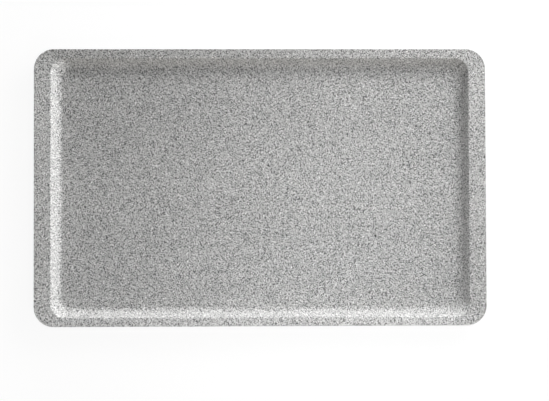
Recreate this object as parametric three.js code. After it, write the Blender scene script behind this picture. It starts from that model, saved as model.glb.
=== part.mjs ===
// Canteen serving tray in the 530 x 325 mm catering size, press-moulded as a laminate.
// A glass-fibre core carries a speckled facing sheet on its upper side and one on its underside.
// Four stacking lugs sit under the two end flanges and keep nested trays apart.
// Millimetres, +Z up, +X along the tray. The origin is the middle of the base, on the table.

import * as THREE from "three";

// Outline of the rim, seen from above
const TRAY_LENGTH = 530;
const TRAY_WIDTH = 325;
const RIM_CORNER_RADIUS = 23.5;

// Flange: wide at the two ends, where hands hold the tray, and narrow along the sides.
// It climbs a little from its inner edge, the lip, to the rim.
const END_FLANGE = 19.6;
const SIDE_FLANGE = 10.6;
const FLANGE_RISE = 2;

// Well: sloping walls between the lip and the flat floor
const TRAY_HEIGHT = 21;
const WALL_SLOPE = THREE.MathUtils.degToRad(66);
const LIP_RADIUS = 1.5;
const UNDER_LIP_RADIUS = 1;
const FLOOR_RADIUS = 7.7;
const WELL_CORNER_RADIUS = 16;

// Lay-up, from the top down
const TOP_SHEET = 0.3;
const CORE = 2;
const BOTTOM_SHEET = 0.3;

// Stacking lugs under the end flanges
const LUG_LENGTH = 24;
const LUG_WIDTH = 6;
const LUG_HEIGHT = 5.5;
const LUG_SETBACK = 60; // from the side of the rim to the middle of a lug
const LUG_GAP = 0.3; // between a lug and the fillet under the lip

// How finely the round stretches are faceted
const CORNER_DIVISIONS = 4;
const LIP_STEPS = 3;
const FLOOR_STEPS = 5;

// Sizes that follow from the ones above
const SHELL = TOP_SHEET + CORE + BOTTOM_SHEET;
const LIP_HEIGHT = TRAY_HEIGHT - FLANGE_RISE;
const WALL_RUN = (LIP_HEIGHT - SHELL) / Math.tan(WALL_SLOPE);
const CORNER_FACTOR = Math.tan(WALL_SLOPE / 2); // tangent length of a fillet of radius 1 at either bend
const UNDER_LIP_REACH = (SHELL + UNDER_LIP_RADIUS) * CORNER_FACTOR; // from the lip to the flange's underside

const speckledFacing = new THREE.MeshStandardMaterial({ color: 0xa8a8a7, roughness: 0.75, metalness: 0 });
const fibreCompound = new THREE.MeshStandardMaterial({ color: 0x8f8f8c, roughness: 0.65, metalness: 0 });
const lugCompound = new THREE.MeshStandardMaterial({ color: 0x9a9a98, roughness: 0.7, metalness: 0 });

// One rounded rectangle of points at height z, anticlockwise seen from above
function roundedRing(halfLength, halfWidth, radius, z) {
  const x = halfLength - radius;
  const y = halfWidth - radius;
  const outline = new THREE.Path();
  outline.absarc(x, y, radius, 0, Math.PI / 2);
  outline.absarc(-x, y, radius, Math.PI / 2, Math.PI);
  outline.absarc(-x, -y, radius, Math.PI, 1.5 * Math.PI);
  outline.absarc(x, -y, radius, 1.5 * Math.PI, 2 * Math.PI);
  return outline.getPoints(CORNER_DIVISIONS).map((p) => new THREE.Vector3(p.x, p.y, z));
}

// Corner radius in plan, a given distance inside the lip: the same all down the wall,
// and concentric with it on the flange and in the fillet at the foot of the wall
function wellCornerRadius(inset) {
  return WELL_CORNER_RADIUS - Math.min(inset, 0) - Math.max(inset - WALL_RUN, 0);
}

// Rings of one face of the lay-up, from the floor out to the rim. The face lies a given depth inside
// the material: the flange and the floor sink by that depth, and the wall moves out by it.
function faceRings(depth) {
  const outward = depth * CORNER_FACTOR;
  const lipRadius = THREE.MathUtils.mapLinear(depth, 0, SHELL, LIP_RADIUS, UNDER_LIP_RADIUS);
  const floorRadius = FLOOR_RADIUS + depth;
  const section = [];

  const floorArc = new THREE.Vector2(
    WALL_RUN - outward + floorRadius * CORNER_FACTOR,
    SHELL - depth + floorRadius,
  );
  for (let step = 0; step <= FLOOR_STEPS; step++) {
    const turn = (WALL_SLOPE * step) / FLOOR_STEPS;
    const outwards = new THREE.Vector2(-Math.sin(turn), -Math.cos(turn));
    section.push(outwards.multiplyScalar(floorRadius).add(floorArc));
  }

  const lipArc = new THREE.Vector2(-outward - lipRadius * CORNER_FACTOR, LIP_HEIGHT - depth - lipRadius);
  for (let step = LIP_STEPS; step >= 0; step--) {
    const turn = (WALL_SLOPE * step) / LIP_STEPS;
    const outwards = new THREE.Vector2(Math.sin(turn), Math.cos(turn));
    section.push(outwards.multiplyScalar(lipRadius).add(lipArc));
  }

  const rings = section.map(({ x: inset, y: z }) =>
    roundedRing(
      TRAY_LENGTH / 2 - END_FLANGE - inset,
      TRAY_WIDTH / 2 - SIDE_FLANGE - inset,
      wellCornerRadius(inset + outward) + outward,
      z,
    ),
  );
  rings.push(roundedRing(TRAY_LENGTH / 2, TRAY_WIDTH / 2, RIM_CORNER_RADIUS, TRAY_HEIGHT - depth));
  return rings;
}

// Closed solid skinned over rings of equal point counts, with a flat cap on the first and the last
function loft(rings) {
  const count = rings[0].length;
  const triangles = [];
  for (let ring = 0; ring + 1 < rings.length; ring++) {
    for (let i = 0; i < count; i++) {
      const next = (i + 1) % count;
      const a = ring * count + i;
      const b = ring * count + next;
      triangles.push(a, a + count, b + count, a, b + count, b);
    }
  }
  const last = (rings.length - 1) * count;
  for (const [a, b, c] of THREE.ShapeUtils.triangulateShape(rings[0], [])) {
    triangles.push(a, b, c, last + a, last + c, last + b);
  }
  const geometry = new THREE.BufferGeometry().setFromPoints(rings.flat());
  geometry.setIndex(triangles);
  geometry.computeVertexNormals();
  return geometry;
}

// One sheet of the lay-up, between two depths below the upper face
function sheet(name, topDepth, thickness, material) {
  const upper = faceRings(topDepth);
  const lower = faceRings(topDepth + thickness).reverse();
  const mesh = new THREE.Mesh(loft([...upper, ...lower]), material);
  mesh.name = name;
  return mesh;
}

// A lug's section: against the climbing flange, flat underneath, and sloped to follow the wall.
// Its origin is the foot of the flange, where the fillet under the lip ends.
function lugGeometry() {
  const inner = LUG_GAP;
  const outer = LUG_GAP + LUG_WIDTH;
  const climb = FLANGE_RISE / (END_FLANGE - UNDER_LIP_REACH);
  const section = new THREE.Shape([
    new THREE.Vector2(inner, inner * climb),
    new THREE.Vector2(inner - LUG_HEIGHT / Math.tan(WALL_SLOPE), -LUG_HEIGHT),
    new THREE.Vector2(outer, -LUG_HEIGHT),
    new THREE.Vector2(outer, outer * climb),
  ]);
  const geometry = new THREE.ExtrudeGeometry(section, { depth: LUG_LENGTH, bevelEnabled: false });
  geometry.translate(0, 0, -LUG_LENGTH / 2);
  geometry.rotateX(Math.PI / 2);
  return geometry;
}

// The two lugs of one end, in the frame of the right-hand end
function lugPair(frontName, rearName) {
  const pair = new THREE.Group();
  for (const [name, side] of [[frontName, -1], [rearName, 1]]) {
    const lug = new THREE.Mesh(lugGeometry(), lugCompound);
    lug.name = name;
    lug.position.set(
      TRAY_LENGTH / 2 - END_FLANGE + UNDER_LIP_REACH,
      side * (TRAY_WIDTH / 2 - LUG_SETBACK),
      LIP_HEIGHT - SHELL,
    );
    pair.add(lug);
  }
  return pair;
}

const tray = new THREE.Group();
tray.add(sheet("top_facing_sheet", 0, TOP_SHEET, speckledFacing));
tray.add(sheet("fibre_core", TOP_SHEET, CORE, fibreCompound));
tray.add(sheet("bottom_facing_sheet", TOP_SHEET + CORE, BOTTOM_SHEET, speckledFacing));

const rightLugs = lugPair("stacking_lug_front_right", "stacking_lug_rear_right");
const leftLugs = lugPair("stacking_lug_rear_left", "stacking_lug_front_left");
leftLugs.rotation.z = Math.PI;
tray.add(rightLugs, leftLugs);

export default tray;
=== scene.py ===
# %% [markdown]
# This lesson dresses a speckled canteen tray. The real tray is pressed from glass-fibre polyester between
# two printed sheets, and its solids are already packed as a frame of named nodes. Blender could start from
# an empty scene, but then sizes would drift. So the script loads that frame first, leaves it where it is,
# and gives every node a finer mesh and a finish. All lengths are in metres, and +Z is up.

# %% Load the frame
import math

import bmesh
import bpy
from mathutils import Euler, Matrix, Vector


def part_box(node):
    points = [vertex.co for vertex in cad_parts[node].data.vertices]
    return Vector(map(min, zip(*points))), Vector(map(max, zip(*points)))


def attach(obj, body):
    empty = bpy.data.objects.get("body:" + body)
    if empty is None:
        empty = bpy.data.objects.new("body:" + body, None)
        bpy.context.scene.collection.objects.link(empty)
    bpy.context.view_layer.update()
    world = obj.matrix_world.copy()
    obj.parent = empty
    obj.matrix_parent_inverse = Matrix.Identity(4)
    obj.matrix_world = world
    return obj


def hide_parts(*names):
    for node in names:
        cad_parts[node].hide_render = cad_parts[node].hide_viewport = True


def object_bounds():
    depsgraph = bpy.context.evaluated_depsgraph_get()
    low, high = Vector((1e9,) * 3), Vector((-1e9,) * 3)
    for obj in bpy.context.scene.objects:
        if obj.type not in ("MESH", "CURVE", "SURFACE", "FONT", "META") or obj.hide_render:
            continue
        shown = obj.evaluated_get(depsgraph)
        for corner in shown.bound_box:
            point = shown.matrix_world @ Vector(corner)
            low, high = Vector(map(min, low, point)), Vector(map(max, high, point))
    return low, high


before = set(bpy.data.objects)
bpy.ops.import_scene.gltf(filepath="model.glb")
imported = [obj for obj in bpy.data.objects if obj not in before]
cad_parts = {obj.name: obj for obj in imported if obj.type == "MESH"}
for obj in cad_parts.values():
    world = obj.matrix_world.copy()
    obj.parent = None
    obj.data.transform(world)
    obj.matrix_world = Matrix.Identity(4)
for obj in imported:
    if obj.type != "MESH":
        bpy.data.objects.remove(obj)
cad_low, cad_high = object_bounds()
print("nodes:", ", ".join(sorted(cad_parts)))
print("box of the solids in mm:", [round(1000 * side, 2) for side in cad_high - cad_low])

# %% [markdown]
# The photograph looks almost straight down, from a little to the left of the tray's middle. A camera that
# points straight down has no natural up, so a Track To constraint would roll it. Here the view is built
# from its own three axes: forwards to the aim, up close to the tray's +Y, and right square to both.

# %% Place the camera
EYE = Vector((-0.0335, -0.0667, 1.9))
AIM = Vector((0.0162, -0.0154, 0.021))
ROLL = 0.003  # radians
LENS_MM = 105.2

camera_data = bpy.data.cameras.new("photo_camera")
camera_data.lens = LENS_MM
camera = bpy.data.objects.new("photo_camera", camera_data)
forwards = (AIM - EYE).normalized()
right = forwards.cross(Vector((math.sin(ROLL), math.cos(ROLL), 0))).normalized()
up = right.cross(forwards)
camera.matrix_world = Matrix.Translation(EYE) @ Matrix((right, up, -forwards)).transposed().to_4x4()
bpy.context.scene.collection.objects.link(camera)
bpy.context.scene.camera = camera
print("camera looks down at", round(math.degrees(math.asin(-forwards.z)), 1), "degrees below the horizon")

# %% [markdown]
# A sheet of the tray is thin and follows one section everywhere: flange, lip, sloping wall, foot, floor.
# The outer sizes and the thickness of each sheet are read from the frame. The frame doesn't say how wide
# the flange is or how steep the wall is, so those few sizes are repeated here as named values.

# %% Read the sizes of the lay-up
HALF_LENGTH = cad_high.x
HALF_WIDTH = cad_high.y
RIM_TOP = cad_high.z
core_low, core_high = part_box("fibre_core")
TOP_SHEET = RIM_TOP - core_high.z
BOTTOM_SHEET = core_low.z - cad_low.z
FLOOR_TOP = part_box("top_facing_sheet")[0].z + TOP_SHEET
SHELL = FLOOR_TOP - cad_low.z

RIM_CORNER = 0.0235
END_FLANGE = 0.0196
SIDE_FLANGE = 0.0106
FLANGE_RISE = 0.002
WELL_CORNER = 0.016
WALL_SLOPE = math.radians(66)
LIP_RADIUS = 0.0015
UNDER_LIP_RADIUS = 0.001
FLOOR_RADIUS = 0.0077

WELL_DEPTH = RIM_TOP - FLANGE_RISE - FLOOR_TOP
WALL_RUN = WELL_DEPTH / math.tan(WALL_SLOPE)
BEND = math.tan(WALL_SLOPE / 2)  # how far a fillet of radius 1 reaches back from the lip or the foot
print("shell in mm:", round(1000 * SHELL, 2), "well depth in mm:", round(1000 * WELL_DEPTH, 2))

# %% [markdown]
# Every level of the tray is a rectangle with round corners. The corners could be worked out with sines and
# cosines, but the bevel operator already does that: a one-face grid is scaled to size, and bevelling its
# four corner vertices rounds them. Equal segment counts give every outline the same number of vertices.

# %% Make a rounded rectangle
CORNER_SEGMENTS = 20


def round_off(bm, geometry, offset, segments, affect):
    """Bevel vertices or edges of a bmesh into circular arcs, and return what the operator made."""
    return bmesh.ops.bevel(
        bm,
        geom=geometry,
        offset=offset,
        offset_type="OFFSET",
        segments=segments,
        profile=0.5,
        affect=affect,
        material=-1,
    )


def rounded_rectangle(bm, half_length, half_width, corner_radius, height):
    """Add one flat face with round corners to a bmesh, and return it."""
    corners = bmesh.ops.create_grid(bm, x_segments=1, y_segments=1, size=1)["verts"]
    bmesh.ops.scale(bm, vec=(half_length, half_width, 1), verts=corners)
    bmesh.ops.translate(bm, vec=(0, 0, height), verts=corners)
    rounded = round_off(bm, corners, corner_radius, CORNER_SEGMENTS, "VERTICES")
    return rounded["verts"][0].link_faces[0]


# %% [markdown]
# One face of a sheet is three such outlines, at the rim, at the lip and at the foot of the wall. Bridging
# their loops gives the flange and the wall, and the last outline keeps its face as the floor. The lip and
# the foot are then rounded by an edge bevel, because a fillet is what a press leaves there. A face deeper
# in the material has the same section, with its wall a little further out.

# %% Make one face of a sheet
LIP_SEGMENTS = 6
FOOT_SEGMENTS = 12


def pressed_face(bm, depth):
    """Add the face of the lay-up at a given depth inside the material, and return its rim edges."""
    outward = depth * BEND
    length_at_lip = HALF_LENGTH - END_FLANGE + outward
    width_at_lip = HALF_WIDTH - SIDE_FLANGE + outward
    corner = WELL_CORNER + outward
    rim = rounded_rectangle(bm, HALF_LENGTH, HALF_WIDTH, RIM_CORNER, RIM_TOP - depth)
    lip = rounded_rectangle(bm, length_at_lip, width_at_lip, corner, RIM_TOP - FLANGE_RISE - depth)
    floor = rounded_rectangle(
        bm, length_at_lip - WALL_RUN, width_at_lip - WALL_RUN, corner, FLOOR_TOP - depth
    )
    rim_edges, lip_edges, foot_edges = (list(face.edges) for face in (rim, lip, floor))
    bmesh.ops.delete(bm, geom=[rim, lip], context="FACES_ONLY")
    bmesh.ops.bridge_loops(bm, edges=rim_edges + lip_edges)
    bmesh.ops.bridge_loops(bm, edges=lip_edges + foot_edges)
    bmesh.ops.recalc_face_normals(bm, faces=bm.faces)
    lip_radius = LIP_RADIUS + (UNDER_LIP_RADIUS - LIP_RADIUS) * depth / SHELL
    round_off(bm, lip_edges, lip_radius * BEND, LIP_SEGMENTS, "EDGES")
    round_off(bm, foot_edges, (FLOOR_RADIUS + depth) * BEND, FOOT_SEGMENTS, "EDGES")
    return rim_edges


# %% [markdown]
# A whole sheet is an upper and a lower face joined around the rim, which makes a closed skin. Solidify
# could thicken a single face, but it would fold the tight radius under the lip over itself. The arris that
# a hand meets, on the outside of the two facing sheets, is eased with a small bevel.

# %% Make a whole sheet
ARRIS = 0.00022
ARRIS_SEGMENTS = 3


def pressed_sheet(top_depth, bottom_depth, eased=None):
    """Return a bmesh of the sheet between two depths, with its top or bottom arris eased."""
    bm = bmesh.new()
    upper_rim = pressed_face(bm, top_depth)
    lower_rim = pressed_face(bm, bottom_depth)
    bmesh.ops.bridge_loops(bm, edges=upper_rim + lower_rim)
    bmesh.ops.recalc_face_normals(bm, faces=bm.faces)
    if eased:
        arris = {"top": upper_rim, "bottom": lower_rim}[eased]
        round_off(bm, arris, ARRIS, ARRIS_SEGMENTS, "EDGES")
    bmesh.ops.recalc_face_normals(bm, faces=bm.faces)
    return bm


# %% [markdown]
# A bmesh becomes a piece of the tray when it is an object that rides on a body of the frame, hides its node
# and carries a material. Large flat faces next to narrow fillets shade badly with plain smooth normals, so
# a
# Weighted Normal modifier lets the flat faces win.

# %% Turn a bmesh into a piece
SHARP_ABOVE = math.radians(50)
LARGE_FACES_FIRST = 100  # the highest weight of the Weighted Normal modifier


def dress(bm, name, node, material):
    """Make an object from a bmesh, and let it stand for a node of the frame."""
    mesh = bpy.data.meshes.new(name)
    bm.to_mesh(mesh)
    bm.free()
    mesh.shade_smooth()
    mesh.set_sharp_from_angle(angle=SHARP_ABOVE)
    mesh.materials.append(material)
    piece = bpy.data.objects.new(name, mesh)
    bpy.context.scene.collection.objects.link(piece)
    weighted = piece.modifiers.new("flat faces win", "WEIGHTED_NORMAL")
    weighted.keep_sharp = True
    weighted.weight = LARGE_FACES_FIRST
    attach(piece, "root")
    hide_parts(node)
    print(name, "has", len(mesh.polygons), "faces")
    return piece


# %% [markdown]
# The facing looks like fine granite: a mid grey broken up by dark and pale grains under a millimetre
# across, with a larger fleck here and there. A printed image would show its pixels close up, so the grains
# are procedural. Node trees are long to write out, so a few helpers add the nodes that come up often. These
# three make a group, do arithmetic and turn a number into a shade.

# %% Make helpers for groups and numbers
def new_group(name, inputs, outputs):
    """Make a shader node group with named sockets, and return it with its input and output nodes."""
    group = bpy.data.node_groups.new(name, "ShaderNodeTree")
    for label, kind in inputs:
        group.interface.new_socket(label, in_out="INPUT", socket_type=kind)
    for label, kind in outputs:
        group.interface.new_socket(label, in_out="OUTPUT", socket_type=kind)
    return group, group.nodes.new("NodeGroupInput"), group.nodes.new("NodeGroupOutput")


def math_node(tree, operation, *values):
    """Add a Math node fed by sockets or plain numbers, and return its output."""
    node = tree.nodes.new("ShaderNodeMath")
    node.operation = operation
    for socket, value in zip(node.inputs, values):
        if isinstance(value, (int, float)):
            socket.default_value = value
        else:
            tree.links.new(value, socket)
    return node.outputs[0]


def ramp_node(tree, factor, stops):
    """Add a colour ramp with grey stops, and return its output."""
    node = tree.nodes.new("ShaderNodeValToRGB")
    elements = node.color_ramp.elements
    while len(elements) < len(stops):
        elements.new(0.5)
    for element, (position, grey) in zip(elements, stops):
        element.position = position
        element.color = (grey, grey, grey, 1)
    tree.links.new(factor, node.inputs["Fac"])
    return node.outputs["Color"]


# %% [markdown]
# Two textures do all the work on this tray. Noise gives soft lumps, and Voronoi gives cells with a random
# number each. Both nodes take a scale, the count of lumps or cells in a metre. A maker thinks in sizes, so
# the helpers take a size instead.

# %% Make helpers for textures
def noise_node(tree, vector, size, detail):
    """Add a Noise texture whose largest lumps have a given size, and return the node."""
    node = tree.nodes.new("ShaderNodeTexNoise")
    node.inputs["Scale"].default_value = 1 / size
    node.inputs["Detail"].default_value = detail
    tree.links.new(vector, node.inputs["Vector"])
    return node


def cell_node(tree, vector, size):
    """Add a Voronoi texture with cells of a given size, and return each cell's random number."""
    node = tree.nodes.new("ShaderNodeTexVoronoi")
    node.inputs["Scale"].default_value = 1 / size
    tree.links.new(vector, node.inputs["Vector"])
    split = tree.nodes.new("ShaderNodeSeparateColor")
    tree.links.new(node.outputs["Color"], split.inputs[0])
    return split.outputs[0]


# %% [markdown]
# Straight cell walls would look like a mosaic, so a noise first warps the coordinates. Random cells alone
# clump into soft clouds, because nothing keeps two dark ones apart. So the flecks come from the lows and
# the highs of a second noise, whose lumps keep their distance, as chips do in a cast slab. Noise is made on
# a square lattice, which would show on a level floor as a weave, so the whole pattern is turned away from
# the tray's axes. A wide, faint noise clouds it a little. Both facings and the lugs use the effect, so it
# is a node group.

# %% Build the granite effect
GRAIN = 0.0007
FLECK = 0.0012
WARP = 0.0004
WARP_LUMP = 0.0021
CLOUD = 0.014
CLOUD_STRENGTH = 0.15
PATTERN_TURN = (0.6, 0.4, 0.8)  # radians about each axis
# Stops of the ramps: a place between 0 and 1, and the shade there
GRAIN_SHADES = [(0.0, 0.56), (0.22, 0.64), (0.28, 0.94), (0.78, 1.14), (0.83, 1.38), (1.0, 1.48)]
FLECK_SHADES = [(0.3, 0.07), (0.45, 1.0), (0.55, 1.0), (0.7, 1.32)]

granite, granite_in, granite_out = new_group(
    "granite grains",
    [("Vector", "NodeSocketVector"), ("Contrast", "NodeSocketFloat")],
    [("Shade", "NodeSocketFloat")],
)


def fill_granite(tree, group_in, group_out):
    """Wire fine grains and scattered flecks into one shade around 1."""
    turned = tree.nodes.new("ShaderNodeMapping")
    turned.inputs["Rotation"].default_value = PATTERN_TURN
    tree.links.new(group_in.outputs["Vector"], turned.inputs["Vector"])
    vector = turned.outputs["Vector"]
    wobble = noise_node(tree, vector, WARP_LUMP, detail=1)
    warped = tree.nodes.new("ShaderNodeVectorMath")
    warped.operation = "MULTIPLY_ADD"
    warped.inputs[1].default_value = (2 * WARP,) * 3
    tree.links.new(wobble.outputs["Color"], warped.inputs[0])
    tree.links.new(vector, warped.inputs[2])

    grains = ramp_node(tree, cell_node(tree, warped.outputs[0], GRAIN), GRAIN_SHADES)
    lumps = noise_node(tree, warped.outputs[0], FLECK, detail=0).outputs["Fac"]
    flecks = ramp_node(tree, lumps, FLECK_SHADES)
    clouds = noise_node(tree, vector, CLOUD, detail=2).outputs["Fac"]
    cloud_shade = math_node(tree, "MULTIPLY_ADD", clouds, CLOUD_STRENGTH, 1 - CLOUD_STRENGTH / 2)
    pattern = math_node(tree, "MULTIPLY", grains, flecks)
    away = math_node(tree, "MULTIPLY_ADD", pattern, cloud_shade, -1.0)
    shade = math_node(tree, "MULTIPLY_ADD", away, group_in.outputs["Contrast"], 1.0)
    tree.links.new(shade, group_out.inputs["Shade"])


fill_granite(granite, granite_in, granite_out)
print("granite group has", len(granite.nodes), "nodes")

# %% [markdown]
# Every material of the tray is a resin, so all start from the same Principled shader with one refractive
# index. Their patterns read object coordinates, which stay with the piece. A ground colour is multiplied by
# a shade, and a height drives a very shallow bump, because pressed resin is never quite smooth.

# %% Make helpers for the resins
RESIN_IOR = 1.5
BUMP_STRENGTH = 0.5


def start_material(name, roughness):
    """Make a material with object coordinates, and return it with its tree, shader and coordinates."""
    material = bpy.data.materials.new(name)
    material.use_nodes = True
    tree = material.node_tree
    surface = tree.nodes["Principled BSDF"]
    surface.inputs["Roughness"].default_value = roughness
    surface.inputs["IOR"].default_value = RESIN_IOR
    return material, tree, surface, tree.nodes.new("ShaderNodeTexCoord").outputs["Object"]


def tint(tree, ground, shade, surface):
    """Multiply a ground colour by a shade into the shader's base colour."""
    scaled = tree.nodes.new("ShaderNodeVectorMath")
    scaled.operation = "SCALE"
    scaled.inputs[0].default_value = ground
    tree.links.new(shade, scaled.inputs["Scale"])
    tree.links.new(scaled.outputs[0], surface.inputs["Base Color"])


def roughen(tree, height, depth, surface):
    """Let a height between 0 and 1 move the surface by a given depth."""
    bump = tree.nodes.new("ShaderNodeBump")
    bump.inputs["Strength"].default_value = BUMP_STRENGTH
    bump.inputs["Distance"].default_value = depth
    tree.links.new(height, bump.inputs["Height"])
    tree.links.new(bump.outputs["Normal"], surface.inputs["Normal"])


# %% [markdown]
# The facing is a matt resin over the print: in the photograph the rounded foot of the wall has no
# highlight, which a glossy tray would show there. The lugs are moulded in a duller grey of the same family.
# Both use the granite group, the lugs with less contrast. One fine noise moves the roughness a little and
# also feeds the bump, as both come from the same unevenness of the press plate.

# %% Make the speckled materials
GLOSS_SPREAD = 0.2


def speckled_material(name, ground, contrast, roughness, bump_depth):
    """Make a material whose ground colour is broken up by the granite group."""
    material, tree, surface, place = start_material(name, roughness)
    speckle = tree.nodes.new("ShaderNodeGroup")
    speckle.node_tree = granite
    speckle.inputs["Contrast"].default_value = contrast
    tree.links.new(place, speckle.inputs["Vector"])
    tint(tree, ground, speckle.outputs["Shade"], surface)
    unevenness = noise_node(tree, place, GRAIN, detail=3).outputs["Fac"]
    uneven_gloss = math_node(tree, "MULTIPLY_ADD", unevenness, GLOSS_SPREAD, roughness - GLOSS_SPREAD / 2)
    tree.links.new(uneven_gloss, surface.inputs["Roughness"])
    roughen(tree, unevenness, bump_depth, surface)
    return material


facing = speckled_material(
    "speckled facing", ground=(0.482, 0.481, 0.476), contrast=1.09, roughness=0.75, bump_depth=0.00003
)
lug_grey = speckled_material(
    "lug compound", ground=(0.33, 0.33, 0.32), contrast=0.35, roughness=0.7, bump_depth=0.00006
)
print("speckled materials:", facing.name, "and", lug_grey.name)

# %% [markdown]
# The core shows only at the trimmed edge of the rim. There a saw has cut through mats of glass fibre, which
# leaves thin streaks along the edge. A noise squeezed in height gives such streaks, and they need no image
# and no extra geometry.

# %% Make the trimmed edge
STREAK_LENGTH = 0.006
STREAK_HEIGHT = 0.0003
STREAK_SHADES = [(0.3, 0.75), (0.7, 1.25)]


def trimmed_edge(name, ground, roughness, bump_depth):
    """Make a matt material with streaks that run level around the tray."""
    material, tree, surface, place = start_material(name, roughness)
    squeezed = tree.nodes.new("ShaderNodeVectorMath")
    squeezed.operation = "MULTIPLY"
    squeezed.inputs[1].default_value = (1, 1, STREAK_LENGTH / STREAK_HEIGHT)
    tree.links.new(place, squeezed.inputs[0])
    streaks = noise_node(tree, squeezed.outputs[0], STREAK_LENGTH, detail=4).outputs["Fac"]
    tint(tree, ground, ramp_node(tree, streaks, STREAK_SHADES), surface)
    roughen(tree, streaks, bump_depth, surface)
    return material


core_edge = trimmed_edge("fibre core", ground=(0.3, 0.3, 0.285), roughness=0.65, bump_depth=0.00008)
print("edge material:", core_edge.name)

# %% [markdown]
# Now the three sheets are pressed and dressed. The core shows only as a line around the rim, between the
# two facings, so it needs no easing of its own.

# %% Press the sheets
dress(
    pressed_sheet(0, TOP_SHEET, eased="top"),
    "granite_facing_top", "top_facing_sheet", facing,
)
dress(
    pressed_sheet(TOP_SHEET, SHELL - BOTTOM_SHEET),
    "fibre_core_moulding", "fibre_core", core_edge,
)
dress(
    pressed_sheet(SHELL - BOTTOM_SHEET, SHELL, eased="bottom"),
    "granite_facing_underside", "bottom_facing_sheet", facing,
)

# %% [markdown]
# Each stacking lug is a small block that hangs from the end flange and grows out of the wall. A cube is
# scaled to the box of its node, and its inner face is pushed to the wall and leant along it. The upper
# inner edge drops as far as the flange does there, and all edges but those on the flange are rounded.

# %% Make the stacking lugs
LUG_INTO_WALL = 0.0011
LUG_ROUNDING = 0.0014
LUG_SEGMENTS = 5
FLANGE_CLIMB = FLANGE_RISE / (END_FLANGE - (SHELL + UNDER_LIP_RADIUS) * BEND)


def stacking_lug(node):
    """Return a bmesh of the rounded block that stands for one lug."""
    low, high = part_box(node)
    middle = (low + high) / 2
    size = high - low
    outwards = math.copysign(1, middle.x)
    lean = size.z / math.tan(WALL_SLOPE)
    drop = FLANGE_CLIMB * (size.x - lean)
    bm = bmesh.new()
    block = bmesh.ops.create_cube(bm, size=1)["verts"]
    bmesh.ops.scale(bm, vec=size, verts=block)
    bmesh.ops.translate(bm, vec=middle, verts=block)
    inner = [v for v in block if (v.co.x - middle.x) * outwards < 0]
    under_flange = [v for v in inner if v.co.z > middle.z]
    bmesh.ops.translate(bm, vec=(-outwards * LUG_INTO_WALL, 0, 0), verts=inner)
    bmesh.ops.translate(bm, vec=(outwards * lean, 0, -drop), verts=under_flange)
    free_edges = [e for e in bm.edges if min(v.co.z for v in e.verts) < middle.z]
    round_off(bm, free_edges, LUG_ROUNDING, LUG_SEGMENTS, "EDGES")
    bmesh.ops.recalc_face_normals(bm, faces=bm.faces)
    return bm


for node in sorted(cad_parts):
    if node.startswith("stacking_lug"):
        lug_name = node.replace("stacking_lug", "rounded_lug")
        dress(stacking_lug(node), lug_name, node, lug_grey)

# %% [markdown]
# The photograph is a cut-out on white. A table lit until it is white would flood the tray with light from
# below, so the table only looks white: to the camera, and to reflections, it glows almost to white and adds
# a faint diffuse share that still shows the tray's shadow. To every other ray it is an ordinary pale table.
# The Light Path node tells the two kinds of ray apart.

# %% Make the table's material
FLOOR_COLOUR = (0.8, 0.8, 0.8, 1)
FLOOR_GLOW = 0.91
FLOOR_SHADE = (0.12, 0.12, 0.12, 1)


def looked_at(tree):
    """Return a socket that is 1 for camera, glossy and transmission rays, and 0 for bounced light."""
    path = tree.nodes.new("ShaderNodeLightPath").outputs
    mirrored = math_node(tree, "MAXIMUM", path["Is Glossy Ray"], path["Is Transmission Ray"])
    return math_node(tree, "MAXIMUM", path["Is Camera Ray"], mirrored)


def mix_shaders(tree, factor, plain, seen, out):
    """Send one shader to the output where the factor is 0, and another where it is 1."""
    mix = tree.nodes.new("ShaderNodeMixShader")
    tree.links.new(factor, mix.inputs["Fac"])
    tree.links.new(plain.outputs[0], mix.inputs[1])
    tree.links.new(seen.outputs[0], mix.inputs[2])
    tree.links.new(mix.outputs[0], out.inputs["Surface"])


def floor_material():
    """Make a table top that looks white and keeps a faint shadow."""
    material = bpy.data.materials.new("white table")
    material.use_nodes = True
    tree = material.node_tree
    tree.nodes.remove(tree.nodes["Principled BSDF"])
    plain = tree.nodes.new("ShaderNodeBsdfDiffuse")
    plain.inputs["Color"].default_value = FLOOR_COLOUR
    shade = tree.nodes.new("ShaderNodeBsdfDiffuse")
    shade.inputs["Color"].default_value = FLOOR_SHADE
    glow = tree.nodes.new("ShaderNodeEmission")
    glow.inputs["Strength"].default_value = FLOOR_GLOW
    seen = tree.nodes.new("ShaderNodeAddShader")
    tree.links.new(shade.outputs[0], seen.inputs[0])
    tree.links.new(glow.outputs[0], seen.inputs[1])
    mix_shaders(tree, looked_at(tree), plain, seen, tree.nodes["Material Output"])
    return material


# %% [markdown]
# The table itself is one flat face under the tray, wide enough that its edge stays out of most views. It
# isn't part of the tray.

# %% Lay the table
FLOOR_SIZE = 8.0

floor_bm = bmesh.new()
bmesh.ops.create_grid(floor_bm, x_segments=1, y_segments=1, size=FLOOR_SIZE / 2)
floor_mesh = bpy.data.meshes.new("white_table")
floor_bm.to_mesh(floor_mesh)
floor_bm.free()
floor_mesh.materials.append(floor_material())
floor = bpy.data.objects.new("white_table", floor_mesh)
bpy.context.scene.collection.objects.link(floor)
print("table is", FLOOR_SIZE, "m wide")

# %% [markdown]
# In the photograph the left and front walls of the well are bright and the right and rear walls are dark,
# so low light comes from the right and the rear. The wall's shadow is long at the rear and short on the
# right, so the floor has its light from higher lamps: one beyond the rear right corner, and three close by
# at the right, the rear and the front. The floor is also brighter towards the right: two gridded lamps,
# whose light spreads less, help with that. Area lamps shaped as discs stand in for all these softboxes, and
# a weak low bank in front keeps the rear wall open.

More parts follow.
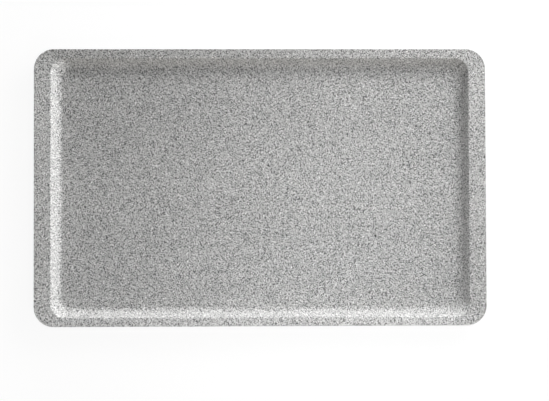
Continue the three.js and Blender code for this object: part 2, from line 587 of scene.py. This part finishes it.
# %% Hang the lamps
TRAY_MIDDLE = Vector((0, 0, 0))
REAR_RIGHT = Vector((0.16, 0.1, 0))
FRONT_RIGHT = Vector((0.14, -0.13, 0))
BANK = {"distance": 5.0, "diameter": 1.75}
HIGH = {"distance": 1.7, "diameter": 0.85}
CLOSE = {"distance": 0.7, "diameter": 0.35}
GRIDDED = {"distance": 1.0, "diameter": 0.4}
WARM = (1.0, 0.95, 0.87)


def softbox(name, watts, azimuth, elevation, distance, diameter, aim=TRAY_MIDDLE, spread=180):
    """Add a round area lamp that faces a point. Azimuth from +X, elevation and spread are in degrees."""
    data = bpy.data.lights.new(name, "AREA")
    data.shape = "DISK"
    data.size = diameter
    data.energy = watts
    data.spread = math.radians(spread)
    lamp = bpy.data.objects.new(name, data)
    turn = Euler((0, math.radians(-elevation), math.radians(azimuth)))
    outwards = turn.to_matrix() @ Vector((distance, 0, 0))
    lamp.location = aim + outwards
    lamp.rotation_euler = outwards.to_track_quat("Z", "Y").to_euler()
    lamp.visible_camera = False
    bpy.context.scene.collection.objects.link(lamp)
    return data


softbox("right_bank", watts=356, azimuth=0, elevation=3, **BANK)
softbox("rear_bank", watts=360, azimuth=90, elevation=3, **BANK)
softbox("front_bank", watts=70, azimuth=270, elevation=6, **BANK).color = WARM
softbox("corner_high", watts=10.7, azimuth=45, elevation=25, **HIGH)
softbox("right_close", watts=1.08, azimuth=32, elevation=36, **CLOSE)
softbox("rear_close", watts=0.72, azimuth=76, elevation=34, **CLOSE)
softbox("front_close", watts=0.92, azimuth=270, elevation=55, **CLOSE)
softbox("rear_gridded", watts=0.09, azimuth=60, elevation=30, aim=REAR_RIGHT, spread=40, **GRIDDED)
softbox("front_gridded", watts=0.1, azimuth=270, elevation=60, aim=FRONT_RIGHT, spread=30, **GRIDDED)

# %% [markdown]
# The world gives a weak, even light from every side. Behind the table's far edge it has to look white too,
# so it shows strength 1 to the same rays as the table does. The Standard view transform then shows colours
# about as they are written.

# %% Set the world
WORLD_FILL = 0.1
WHITE = (1, 1, 1, 1)

world = bpy.data.worlds.new("studio")
world.use_nodes = True
world_tree = world.node_tree
fill = world_tree.nodes["Background"]
fill.inputs["Color"].default_value = WHITE
fill.inputs["Strength"].default_value = WORLD_FILL
backdrop = world_tree.nodes.new("ShaderNodeBackground")
backdrop.inputs["Color"].default_value = WHITE
mix_shaders(world_tree, looked_at(world_tree), fill, backdrop, world_tree.nodes["World Output"])
bpy.context.scene.world = world
bpy.context.scene.view_settings.view_transform = "Standard"
print("world fill:", WORLD_FILL)
